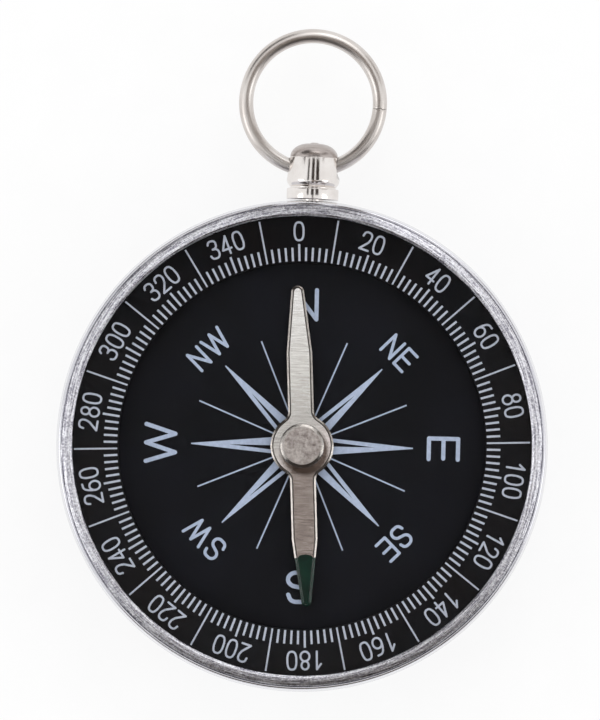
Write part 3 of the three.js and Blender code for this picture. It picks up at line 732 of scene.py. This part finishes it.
# %% Coined blade with its drooping arms
COIN_WIDTH, COIN_DEPTH = 0.26, 0.07
GROOVE_WIDTH, GROOVE_DEPTH = 0.055, 0.03
DROOP = math.tan(math.radians(3))
HUB_ROOT, HUB_MIDDLE = 2.4, 0.1
PAINT_LINE, PAINT_ARCH, ARCH_CUTS = -9.95, 0.28, 9
# The slots of the needle: enamel, the burnished edge, and the painted shade of the groove.
ENAMEL, BURNISHED, GROOVE_SHADE = 1, 2, 3

sheet = bmesh.ops.edgeloop_fill(needle, edges=needle.edges)["faces"][0]
sheet.normal_update()
if sheet.normal.z < 0:
    sheet.normal_flip()
lifted = bmesh.ops.extrude_face_region(needle, geom=[sheet], use_keep_orig=True)["geom"]
top_face = only("Face", lifted)[0]
bmesh.ops.translate(needle, vec=(0, 0, (SHEET - COIN_DEPTH) * MM), verts=top_face.verts)
for width, depth, finish in (
    (COIN_WIDTH - 2 * GROOVE_WIDTH, COIN_DEPTH, BURNISHED),
    # Both sides of the groove take the painted shade.
    (GROOVE_WIDTH, -GROOVE_DEPTH, GROOVE_SHADE),
    (GROOVE_WIDTH, GROOVE_DEPTH, GROOVE_SHADE),
):
    band = bmesh.ops.inset_region(
        needle, faces=[top_face], thickness=width * MM, depth=depth * MM, use_even_offset=True,
    )["faces"]
    for face in band:
        face.material_index = finish
for y in (HUB_ROOT, -HUB_ROOT, PAINT_LINE):
    cut = bmesh.ops.bisect_plane(
        needle, geom=needle.verts[:] + needle.edges[:] + needle.faces[:], dist=WELD,
        plane_co=(0, y * MM, 0), plane_no=(0, 1, 0),
    )["geom_cut"]
upper = [e for e in only("Edge", cut) if min(v.co.z for v in e.verts) > (SHEET - GROOVE_DEPTH / 2) * MM]
arch = bmesh.ops.subdivide_edges(needle, edges=[max(upper, key=lambda e: e.calc_length())], cuts=ARCH_CUTS)
for vert in only("Vert", arch["geom_inner"]):
    vert.co.y += PAINT_ARCH * MM * (1 - (vert.co.x / MM / (HALF_WIDTH - COIN_WIDTH)) ** 2)
for face in needle.faces:
    if face.calc_center_median().y / MM < PAINT_LINE:
        face.material_index = ENAMEL
middles = [f for f in needle.faces if f.calc_center_median().xy.length < HUB_MIDDLE * MM]
bmesh.ops.poke(needle, faces=[max(middles, key=lambda f: f.calc_center_median().z)])
for vert in needle.verts:
    out = vert.co.xy.length if abs(vert.co.y) < (HUB_ROOT - HAIR) * MM else abs(vert.co.y)
    vert.co.z += (blade_top - SHEET) * MM - (out - (HUB - COIN_WIDTH) * MM) * DROOP
bmesh.ops.recalc_face_normals(needle, faces=needle.faces)
bmesh.ops.rotate(needle, matrix=Matrix.Rotation(NEEDLE_ANGLE, 3, "Z"), verts=needle.verts)
finished(
    "needle", needle, "needle", "needle_steel", satin_steel, green_enamel, burnished, painted_groove_shade,
    stands_for=["needle_blade"], sharp=15,
)

# %% [markdown]
# ## Hub cup
# A small boss of plated zinc sits on the hub and holds the bearing jewel. Its top is flat and rough, as
# cast, and its edge is round and rubbed bright. The jewel and the pivot inside it stay as the CAD model
# has them, so the profile leaves the bore for them open.

# %% Rough cast zinc, and the cup
CUP_WALL, CUP_GAP = 0.3, 0.05
RIM_WIDTH, RIM_DEPTH = 0.32, 0.13

# Die-cast zinc gives the eye a dull, blotched grey, a little pink beside the steel.
cast_zinc = grained(
    "cast_zinc", [(0.34, "#867b77"), (0.62, "#d6cec9")], (0.5, 8, 0.72), METAL, blur=(0.35, 0.55),
    relief=(0.8, 0.1),
)

cup_radius, cup_bottom, cup_top = span("needle_cap")
jewel_radius, _, jewel_top = span("needle_jewel")
cup = turn([
    (0, jewel_top + CUP_GAP),
    (jewel_radius + CUP_GAP, jewel_top + CUP_GAP),
    (jewel_radius + CUP_GAP, cup_bottom),
    (jewel_radius + CUP_WALL, cup_bottom),
    (jewel_radius + CUP_WALL, blade_top + CUP_GAP),
    (cup_radius, blade_top + CUP_GAP),
    (cup_radius, cup_top - RIM_DEPTH, 0.06),
    (cup_radius - RIM_WIDTH, cup_top, 0.1),
    (0, cup_top),
], steps=96)
for face in cup.faces:
    middle = face.calc_center_median()
    face.material_index = int(middle.xy.length / MM > cup_radius - CUP_WALL)
finished(
    "hub_cup", cup, "needle", "hub_aluminium", cast_zinc, burnished, stands_for=["needle_cap"], sharp=30,
)

# %% [markdown]
# ## Stem
# The stem is turned from brass and plated with nickel: a flange against the case, a groove, a slightly
# tapered barrel with a cross bore for the bow, and a dome with the small pip that the cutter leaves. It is
# spun about Y. Its flange and barrel were polished first and the dome was not, so the same plating has two
# finishes, and the dome's finish also carries a darker tone as painted shade. The dome starts as a quarter
# circle and is scaled flatter from its shoulder.

# %% Nickel plate, and the stem
FLANGE_LENGTH, BARREL_FOOT, DOME_HEIGHT = 5.05, 3.35, 1.25
STUD_RADIUS, FLANGE_RADIUS, NECK_RADIUS = 1, 2.33, 2.05
FLANGE_THICKNESS, NECK_LENGTH, FOOT_CHAMFER = 1, 0.12, 0.26
FOOT_RADIUS, BARREL_RADIUS, SHOULDER_RADIUS, DOME_RADIUS = 2.31, 2.37, 2.19, 2.13
DOME_FLAT, PIP_RADIUS, PIP_FLARE, PIP_HEIGHT = 0.1, 0.3, 0.12, 0.14
STEM_SHARP = 35

# Bright nickel gives the eye a warm mirror. Plating follows every ripple of the metal below it, so a
# low, long wave bends its reflections.
bright_nickel = grained(
    "bright_nickel_plate", [(0.3, "#e2dcd8"), (0.7, "#f0ece9")], (1.6, 2), METAL, blur=(0.1, 0.16),
    relief=(0.1, 0.05),
)

# The same plate over turned, unpolished brass gives a soft glow without a sharp image; its darker grey tone
# is painted shade.
shaded_satin_nickel = grained(
    "satin_nickel_plate", [(0.3, "#b1a8a4"), (0.7, "#c1b9b5")], (0.2, 2), {"Roughness": 0.28, **METAL},
    stretch=(0.1, 1, 0.1),
)

stem_low, stem_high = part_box("pendant_stem")
stem_height = (stem_low.z + stem_high.z) / 2 / MM
dome_top, stud_end = stem_high.y / MM, stem_low.y / MM
flange = dome_top - FLANGE_LENGTH
neck = flange + FLANGE_THICKNESS
barrel = dome_top - BARREL_FOOT
shoulder = dome_top - DOME_HEIGHT
dome_end = shoulder + DOME_RADIUS
stem = turn([
    (0, stud_end),
    (STUD_RADIUS, stud_end, 0.15),
    (STUD_RADIUS, flange),
    (FLANGE_RADIUS, flange, 0.08),
    (FLANGE_RADIUS, neck, 0.12),
    (NECK_RADIUS, neck, 0.05),
    (NECK_RADIUS, neck + NECK_LENGTH, 0.05),
    (FOOT_RADIUS, barrel - FOOT_CHAMFER, 0.14),
    (BARREL_RADIUS, barrel, 0.07),
    (SHOULDER_RADIUS, shoulder, 0.05),
    (DOME_RADIUS, shoulder),
    (DOME_RADIUS, dome_end, DOME_RADIUS - DOME_FLAT),
    (PIP_RADIUS + PIP_FLARE, dome_end, 0.1),
    (PIP_RADIUS, dome_end + PIP_HEIGHT, 0.15),
    (0, dome_end + PIP_HEIGHT),
], steps=160, upright=False, height=stem_height)
# The dome takes the satin finish, whose darker tone is painted shade.
for face in stem.faces:
    face.material_index = int(face.calc_center_median().y / MM > shoulder)
dome = [v for v in stem.verts if v.co.y / MM > shoulder + HAIR]
foot = Matrix.Translation((0, -shoulder * MM, 0))
bmesh.ops.scale(stem, vec=(1, DOME_HEIGHT / DOME_RADIUS, 1), space=foot, verts=dome)
nickel_stem = finished(
    "stem", stem, "case", "stem_nickel", bright_nickel, shaded_satin_nickel, stands_for=["pendant_stem"],
    sharp=STEM_SHARP,
)

# %% [markdown]
# The bore goes through the barrel at a right angle to the spin, which no profile can give. A narrow drill
# passes right through, and a wider one opens it from the right, because the bent wire needs room there
# to swing. The point of the wide drill leaves a cone. Both drills are turned here as one shape, and a
# Boolean modifier cuts it out at the height of the joint that the bow swings about. The result is made
# the stem's mesh, so that the drill can be removed again.

# %% Cross bore
BORE_RADIUS, NARROW_RADIUS = 1.02, 0.78
CONE_FROM, CONE_TO, DRILL_REACH = -1.9, -0.9, 4
bore_axis = next(j for j in frame["joints"] if j["name"] == "bow_swing")["pos_m"]
drill = turn([
    (0, -DRILL_REACH),
    (NARROW_RADIUS, -DRILL_REACH),
    (NARROW_RADIUS, CONE_FROM),
    (BORE_RADIUS, CONE_TO),
    (BORE_RADIUS, DRILL_REACH),
    (0, DRILL_REACH),
], steps=96)
laid = Matrix.Translation(bore_axis) @ Matrix.Rotation(math.pi / 2, 4, "Y")
bmesh.ops.transform(drill, matrix=laid, verts=drill.verts)
drill = linked("drill", drill)
cut = nickel_stem.modifiers.new("bore", "BOOLEAN")
cut.operation, cut.solver, cut.object = "DIFFERENCE", "EXACT", drill
bpy.context.view_layer.update()
bored = bpy.data.meshes.new_from_object(nickel_stem.evaluated_get(bpy.context.evaluated_depsgraph_get()))
nickel_stem.modifiers.remove(cut)
nickel_stem.data = bored
bored.shade_smooth()
bored.set_sharp_from_angle(angle=math.radians(STEM_SHARP))
bpy.data.meshes.remove(drill.data)
print("Bored stem:", len(bored.polygons), "faces")

# %% [markdown]
# ## Bow
# The bow is one piece of plated wire, bent to a circle, and its two ends meet in a butt joint on the
# right. A circle spun through a little less than a full turn is just that. The two end faces are filled
# and their rims bevelled, as a cutter leaves them.

# %% Drawn nickel wire, and the bow
JOINT_ANGLE = math.radians(-3)
JOINT_GAP, JOINT_BEVEL = 0.015, 0.03
WIRE_SIDES, BOW_STEPS = 40, 240

# Plated wire gives the eye a bright, slightly worn mirror, whose blur changes every half millimetre.
drawn_nickel = grained(
    "drawn_nickel_wire", [(0.3, "#cdc6c1"), (0.7, "#dfdad6")], (0.5, 4), METAL, cloud=(3, 2),
    blur=(0.28, 0.34), relief=(0.02, 0.03),
)

bow_low, bow_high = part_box("bow_ring")
bow_centre = (bow_low + bow_high) / 2
wire_radius = (bow_high.z - bow_low.z) / 2
bow_radius = (bow_high.y - bow_low.y) / 2 - wire_radius
gap = JOINT_GAP * MM / bow_radius
bow = bmesh.new()
start = Matrix.Translation(bow_centre) @ Matrix.Rotation(JOINT_ANGLE + gap / 2, 4, "Z")
section = start @ Matrix.Translation((bow_radius, 0, 0)) @ Matrix.Rotation(math.pi / 2, 4, "X")
bmesh.ops.create_circle(bow, segments=WIRE_SIDES, radius=wire_radius, matrix=section)
bmesh.ops.spin(
    bow, geom=bow.verts[:] + bow.edges[:], cent=bow_centre, axis=(0, 0, 1), angle=2 * math.pi - gap,
    steps=BOW_STEPS,
)
rims = [e for e in bow.edges if e.is_boundary]
bmesh.ops.holes_fill(bow, edges=rims, sides=0)
bmesh.ops.bevel(
    bow, geom=rims, offset=JOINT_BEVEL * MM, offset_type="OFFSET", affect="EDGES", segments=2, profile=0.5,
    material=-1,
)
bmesh.ops.recalc_face_normals(bow, faces=bow.faces)
finished("bow", bow, "bow", "bow_nickel", drawn_nickel, stands_for=["bow_ring"])

# %% [markdown]
# ## Inside
# The carrier under the dial, the pivot and the fasteners of the stem are hidden, and their CAD shapes
# are right, so they only get finishes. A loop makes them from a name, two tones, a grain size, whether
# the piece is metal, and its roughness.

# %% Finishes for the pieces inside
HIDDEN = {
    # Moulded plastic gives the eye a dull dark grey that stays behind the dial.
    "dial_carrier": ("grey_abs_moulding", "#353537", "#404042", 0.3, 0, 0.5),
    # Turned brass gives the eye a soft yellow shine.
    "pivot_bush": ("turned_brass", "#ad8c50", "#c3a368", 0.2, 1, 0.28),
    # Hardened and ground steel gives the eye a cold, sharp shine.
    "pivot_pin": ("hardened_steel", "#9b9a98", "#b4b2af", 0.2, 1, 0.2),
    # Bearing glass gives the eye a pale, wet surface.
    "needle_jewel": ("bearing_glass", "#ccd6dc", "#dde5ea", 0.4, 0, 0.08),
    # Zinc plate gives the eye a flat, cloudy grey.
    "pendant_washer": ("zinc_plated_steel", "#a9abad", "#c2c4c6", 0.4, 1, 0.35),
    # Pressed brass gives the eye a matt yellow.
    "pendant_nut": ("pressed_brass", "#a8884f", "#bd9d62", 0.3, 1, 0.35),
}
for node, (name, dark, pale, grain_mm, metallic, roughness) in HIDDEN.items():
    plain = {"Roughness": roughness, "Metallic": metallic}
    material = grained(name, [(0.3, dark), (0.7, pale)], (grain_mm, 3), plain)
    for place in frame["nodes"][node].material_slots:
        place.material = material
    print(node, "gets", name)

# %% [markdown]
# ## Studio
# The photograph was taken in a white tent, with light from all round and white paper below. The world is
# the tent. Both it and the floor show as plain white to the camera, to reflections and through glass,
# and light the compass a little less than that. The floor keeps a share of plain diffuse white for the
# shadow. It has a hole under the case and is clear from below, so that the back can be looked at too.

# %% White tent and floor
TENT_LIGHT = 0.88
WHITE_SHARE = 0.8
FLOOR_HOLE, FLOOR_SPREAD, FLOOR_DROP = 19, 100, 0.02
SEEING = ("Is Camera Ray", "Is Glossy Ray", "Is Transmission Ray")

world = bpy.data.worlds.new("white_tent")
bpy.context.scene.world = world
world.use_nodes = True
tree = world.node_tree
level = add(tree, "MapRange", {"Value": any_of(tree, *SEEING), "To Min": TENT_LIGHT, "To Max": 1})
plug(tree.nodes["Background"], {"Strength": level.outputs[0], "Color": linear("#ffffff")})

# Matt paper gives the eye white without a highlight.
white_paper = grained(
    "white_paper", [(0.3, "#fafafa"), (0.7, "#ffffff")], (4, 3),
    {"Roughness": 0.9, "Specular IOR Level": 0},
)
tree = white_paper.node_tree
matt = tree.nodes["Principled BSDF"].outputs[0]
share = add(tree, "Math", {0: any_of(tree, *SEEING), 1: WHITE_SHARE}, operation="MULTIPLY")
white = add(tree, "Emission", {"Strength": 1})
paper = add(tree, "MixShader", {0: share.outputs[0], 1: matt, 2: white.outputs[0]})
below = add(tree, "NewGeometry").outputs["Backfacing"]
clear = add(tree, "BsdfTransparent")
sheet = add(tree, "MixShader", {0: below, 1: paper.outputs[0], 2: clear.outputs[0]})
plug(tree.nodes["Material Output"], {"Surface": sheet.outputs[0]})

ground = bmesh.new()
place = Matrix.Translation((0, 0, -FLOOR_DROP * MM))
bmesh.ops.create_circle(ground, segments=64, radius=FLOOR_HOLE * MM, matrix=place)
spread = bmesh.ops.extrude_edge_only(ground, edges=ground.edges[:])["geom"]
bmesh.ops.scale(ground, vec=(FLOOR_SPREAD, FLOOR_SPREAD, 1), verts=only("Vert", spread))
bmesh.ops.recalc_face_normals(ground, faces=ground.faces)
if next(iter(ground.faces)).normal.z < 0:
    bmesh.ops.reverse_faces(ground, faces=ground.faces)
floor = linked("floor", ground, white_paper)
floor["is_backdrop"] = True
print("The floor reaches", round(FLOOR_HOLE * FLOOR_SPREAD * MM, 2), "m from the compass")

# %% [markdown]
# ## Flags
# Polished metal in a white tent would be white all over. What draws it are the dark things that it
# mirrors: the lens straight above, the boom that holds it and the dim sides of the room. Photographers
# call such dark cards flags. Each is a part of a dome, made by two spins, one up an arc and one round
# it. Three slits close above the stem draw the dark lines down its barrel, and a card above the bow
# draws the band round its wire. They hang low, so that the window doesn't mirror them. All are seen by
# reflections alone, so that they take no light from the compass.

# %% Dark flags
FLAGS = {
    # name: its felt, the direction of its middle, its width, its lowest and highest edge, in degrees
    "lens_flag": ("black", 0, 360, 86.4, 90),
    "boom_flag": ("pale", 282, 70, 60, 86),
    "room_flag": ("grey", 281, 118, 12, 60),
    "left_flag": ("grey", 130, 48, 12, 44),
    "right_flag": ("pale", 37, 20, 12, 44),
}
DOME = 1
CARDS = {
    # name: its felt, its left, right, lower and upper side, and its height, in mm
    "left_slit": ("black", -5.9, -3.88, 22.4, 30, 18),
    "middle_slit": ("black", -1.67, 1.08, 22.4, 30, 18),
    "right_slit": ("black", 2.51, 5.9, 22.4, 30, 18),
    "bow_card": ("pale", -8.5, 7.9, 31, 39, 19),
}

# Felt swallows light, so it gives the eye a plain dark shape, lighter or darker by its dye.
FELTS = {"black": ("#2f2724", "#3d3430"), "grey": ("#3f3936", "#4d4642"), "pale": ("#8d837c", "#9e948d")}
felts = {}
for name, (dark, light) in FELTS.items():
    matt = {"Roughness": 1, "Specular IOR Level": 0}
    felts[name] = grained(name + "_felt", [(0.3, dark), (0.7, light)], (20, 2), matt)


def hung(name, bm, felt):
    """Hangs a dark card in the studio, where only reflections see it."""
    card = linked(name, bm, felts[felt])
    card.visible_camera = card.visible_diffuse = card.visible_shadow = False
    card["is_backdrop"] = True
    print(name, "has", len(card.data.polygons), "faces of", felt, "felt")


for name, (felt, direction, width, low, high) in FLAGS.items():
    flag = bmesh.new()
    lowest = Matrix.Rotation(-math.radians(low), 3, "Y") @ Vector((DOME, 0, 0))
    first = bmesh.ops.create_vert(flag, co=lowest)["vert"]
    bmesh.ops.spin(flag, geom=first, axis=(0, -1, 0), angle=math.radians(high - low), steps=6)
    side = Matrix.Rotation(math.radians(direction - width / 2), 3, "Z")
    bmesh.ops.rotate(flag, matrix=side, verts=flag.verts)
    bmesh.ops.spin(
        flag, geom=flag.verts[:] + flag.edges[:], axis=(0, 0, 1), angle=math.radians(width), steps=24,
    )
    hung(name, flag, felt)
for name, (felt, left, right, low, high, height) in CARDS.items():
    card = bmesh.new()
    place = Matrix.Translation(Vector(((left + right) / 2, (low + high) / 2, height)) * MM)
    size = Matrix.Diagonal(((right - left) * MM, (high - low) * MM, 1, 1))
    bmesh.ops.create_grid(card, x_segments=1, y_segments=1, size=0.5, matrix=place @ size)
    hung(name, card, felt)

# %% [markdown]
# ## Softboxes
# The tent alone would light the compass from everywhere alike. Three weak area lamps above it, aimed at
# its middle, give round edges their highlights and the floor a soft shadow.

# %% Softboxes
SOFTBOXES = {
    "top_softbox": (0.1, 0.42, 0.42),
    "left_softbox": (-0.5, -0.1, 0.36),
    "right_softbox": (0.5, -0.1, 0.36),
}
SOFTBOX_SIZE, SOFTBOX_WATTS = 0.28, 0.3
for name, place in SOFTBOXES.items():
    lamp = bpy.data.lights.new(name, "AREA")
    lamp.shape, lamp.size, lamp.energy = "SQUARE", SOFTBOX_SIZE, SOFTBOX_WATTS
    softbox = bpy.data.objects.new(name, lamp)
    bpy.context.scene.collection.objects.link(softbox)
    softbox.location = place
    softbox.rotation_mode = "QUATERNION"
    softbox.rotation_quaternion = softbox.location.to_track_quat("Z", "Y")
    print(name, round(softbox.location.length, 2), "m away")

# %% [markdown]
# ## Camera
# The photograph looks almost straight down on the dial, from about 0.6 m, with the compass turned a
# little clockwise in the frame. The frame is 600 by 720 pixels, and the case is 491 pixels across, so
# the long lens follows from the size of the case. Colours are shown by the Standard transform, so that
# they come out as written.

# %% Camera
VIEW_DISTANCE = 600
VIEW_HEIGHT = 64.46
ROLL = math.radians(2.4)
TILT = math.radians(1)
AIM = (-0.18, 7.7)
camera_data = bpy.data.cameras.new("camera")
camera_data.sensor_width = 36
camera_data.lens = camera_data.sensor_width * VIEW_DISTANCE / VIEW_HEIGHT
camera = bpy.data.objects.new("camera", camera_data)
bpy.context.scene.collection.objects.link(camera)
bpy.context.scene.camera = camera
turn_of_view = Matrix.Rotation(ROLL, 4, "Z")
aim = turn_of_view @ Vector((*AIM, 0)) + Vector((0, 0, stem_height))
back = turn_of_view @ Vector((0, -math.sin(TILT), math.cos(TILT)))
camera.matrix_world = (
    Matrix.Translation((aim + back * VIEW_DISTANCE) * MM) @ turn_of_view @ Matrix.Rotation(TILT, 4, "X")
)
bpy.context.scene.view_settings.view_transform = "Standard"
print("Lens", round(camera_data.lens), "mm at", VIEW_DISTANCE, "mm")

# %% [markdown]
# ## Size
# The box of the dressed model is printed in mm at the end. The dressed model has to stay inside the
# CAD model's box.

# %% Sizes, and the end
low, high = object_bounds()
print("Visual box in mm:", [round(x / MM, 3) for x in (*low, *high)])
